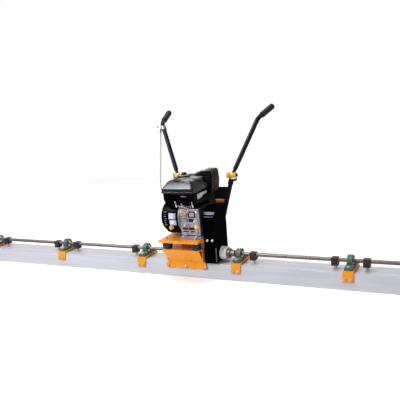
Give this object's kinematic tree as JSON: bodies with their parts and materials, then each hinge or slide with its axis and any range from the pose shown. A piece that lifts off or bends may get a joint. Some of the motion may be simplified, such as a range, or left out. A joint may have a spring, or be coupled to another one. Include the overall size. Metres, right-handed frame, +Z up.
{
  "type": "power screed",
  "caption": "Vibrating concrete levelling beam with shaft driven eccentric weights, a belt driven engine unit on rubber buffers and two tilting operator handles.",
  "frame": {"origin": "centre of the flat sole of the levelling beam, midway between its ends", "axes": "+X along the beam, towards the belt guard side; +Y towards the operator behind the beam; +Z up"},
  "size_m": [3.6, 0.6543, 0.887],
  "materials": {
    "beam_metal": "satin mill finish",
    "yellow_paint": "gloss enamel",
    "green_paint": "painted casting",
    "bearing_steel": "ground",
    "shaft_steel": "dull turned steel",
    "weight_iron": "dark rough casting",
    "fastener_zinc": "zinc plated",
    "coupling_nylon": "white nylon",
    "pulley_iron": "machined iron",
    "belt_rubber": "matt",
    "guard_paint": "gloss black",
    "buffer_rubber": "matt black",
    "engine_aluminium": "cast",
    "engine_steel": "machined",
    "flywheel_iron": "cast",
    "housing_black": "semi gloss black",
    "grip_black": "black plastic",
    "tank_black": "gloss black",
    "cap_black": "black plastic",
    "carburettor_zinc": "die cast",
    "lever_plastic": "black",
    "linkage_copper": "yellow passivated steel",
    "cleaner_plastic": "black plastic",
    "muffler_steel": "heat stained steel",
    "muffler_black": "heat resistant black",
    "plug_ceramic": "rubber boot",
    "oil_cap_yellow": "yellow plastic",
    "switch_yellow": "yellow plastic",
    "tube_black": "black powder coat",
    "panel_black": "black powder coat",
    "knob_yellow": "yellow plastic",
    "grip_rubber": "soft rubber",
    "cable_grey": "grey plastic sheath"
  },
  "bodies": {
    "base": {"beam": "beam_metal", "end_plates": "beam_metal", "bearing_brackets": "yellow_paint", "pillow_housings": "green_paint", "bearing_risers": "yellow_paint", "bearing_outer_rings": "bearing_steel", "v_belt": "belt_rubber", "guard_back_plate": "guard_paint", "guard_cover": "guard_paint", "isolators": "buffer_rubber", "engine_tray": "yellow_paint", "base_frame": "yellow_paint", "crankcase": "engine_aluminium", "side_cover": "engine_aluminium", "cylinder_head": "engine_aluminium", "rocker_cover": "engine_aluminium", "piston": "engine_aluminium", "fan_housing": "housing_black", "recoil_cover": "housing_black", "fuel_tank": "tank_black", "tank_cradle": "housing_black", "carburettor": "carburettor_zinc", "air_cleaner": "cleaner_plastic", "muffler": "muffler_steel", "muffler_guard": "muffler_black", "spark_plug": "plug_ceramic", "lower_handle_tubes": "tube_black", "handle_pivots": "knob_yellow", "handle_crossbar": "yellow_paint", "handle_panel": "panel_black", "throttle_cable": "cable_grey", "hex_bolts": "fastener_zinc"},
    "vibrator": {"vibrator_shafts": "shaft_steel", "bearing_inner_rings": "bearing_steel", "bearing_balls": "bearing_steel", "eccentric_weights": "weight_iron", "weight_bolts": "fastener_zinc", "coupling": "coupling_nylon", "coupling_hubs": "shaft_steel", "driven_pulley": "pulley_iron"},
    "crank": {"crankshaft": "engine_steel", "flywheel": "flywheel_iron", "clutch_drum": "pulley_iron", "clutch_hub": "pulley_iron"},
    "handle_left": {"upper_handle_left": "tube_black", "grip_left": "grip_rubber", "throttle_clamp": "lever_plastic"},
    "handle_right": {"upper_handle_right": "tube_black", "grip_right": "grip_rubber"},
    "throttle": {"throttle_lever": "lever_plastic"},
    "governor": {"governor_arm": "linkage_copper"},
    "left_knob": {"knob_left": "knob_yellow"},
    "right_knob": {"knob_right": "knob_yellow"},
    "starter": {"starter_grip": "grip_black"},
    "tank_cap": {"fuel_cap": "cap_black"},
    "oil_cap": {"oil_filler_cap": "oil_cap_yellow"},
    "choke": {"choke_lever": "lever_plastic"},
    "fuel_valve": {"fuel_valve_lever": "lever_plastic"},
    "switch": {"engine_switch": "switch_yellow"}
  },
  "joints": [
    {"name": "shaft_spin", "type": "hinge", "parent": "base", "child": "vibrator", "pos_m": [0, 0, 0.127], "axis": [1, 0, 0], "continuous": true},
    {"name": "crank_spin", "type": "hinge", "parent": "base", "child": "crank", "pos_m": [0, 0, 0.331], "axis": [1, 0, 0], "continuous": true},
    {"name": "left_handle_tilt", "type": "hinge", "parent": "base", "child": "handle_left", "pos_m": [-0.18, 0.243, 0.513], "axis": [1, 0, 0], "range_deg": [-30, 20], "deforming": ["throttle_cable"]},
    {"name": "right_handle_tilt", "type": "hinge", "parent": "base", "child": "handle_right", "pos_m": [0.18, 0.243, 0.513], "axis": [1, 0, 0], "range_deg": [-30, 20]},
    {"name": "left_knob_turn", "type": "hinge", "parent": "base", "child": "left_knob", "pos_m": [-0.154, 0.243, 0.513], "axis": [1, 0, 0], "continuous": true},
    {"name": "right_knob_turn", "type": "hinge", "parent": "base", "child": "right_knob", "pos_m": [0.154, 0.243, 0.513], "axis": [1, 0, 0], "continuous": true},
    {"name": "throttle_turn", "type": "hinge", "parent": "handle_left", "child": "throttle", "pos_m": [-0.32993, 0.33305, 0.78207], "axis": [0, -0.9397, 0.342], "range_deg": [0, 50]},
    {"name": "governor_turn", "type": "hinge", "parent": "base", "child": "governor", "pos_m": [-0.054, 0.08, 0.415], "axis": [0, 0, 1], "range_deg": [0, 25]},
    {"name": "starter_pull", "type": "slide", "parent": "base", "child": "starter", "axis": [-0.7071, 0.7071, 0], "range_m": [0, 0.45], "stiffness_N_per_m": 30, "springref_m": -0.3},
    {"name": "fuel_cap_turn", "type": "hinge", "parent": "base", "child": "tank_cap", "pos_m": [-0.014, 0.03, 0.553], "axis": [0, 0, 1], "range_deg": [0, 90]},
    {"name": "oil_cap_turn", "type": "hinge", "parent": "base", "child": "oil_cap", "pos_m": [0.098, -0.085, 0.296], "axis": [0, 1, 0], "continuous": true},
    {"name": "choke_turn", "type": "hinge", "parent": "base", "child": "choke", "pos_m": [-0.041, 0.104, 0.412], "axis": [1, 0, 0], "range_deg": [0, 40]},
    {"name": "fuel_valve_turn", "type": "hinge", "parent": "base", "child": "fuel_valve", "pos_m": [-0.041, 0.104, 0.392], "axis": [1, 0, 0], "range_deg": [-40, 0]},
    {"name": "switch_turn", "type": "hinge", "parent": "base", "child": "switch", "pos_m": [-0.052, -0.105, 0.29], "axis": [0, 1, 0], "range_deg": [0, 60]}
  ],
  "couplings": [
    {"joint": "crank_spin", "follows": "shaft_spin", "ratio": 0.66667},
    {"joint": "governor_turn", "follows": "throttle_turn", "ratio": 0.5}
  ]
}
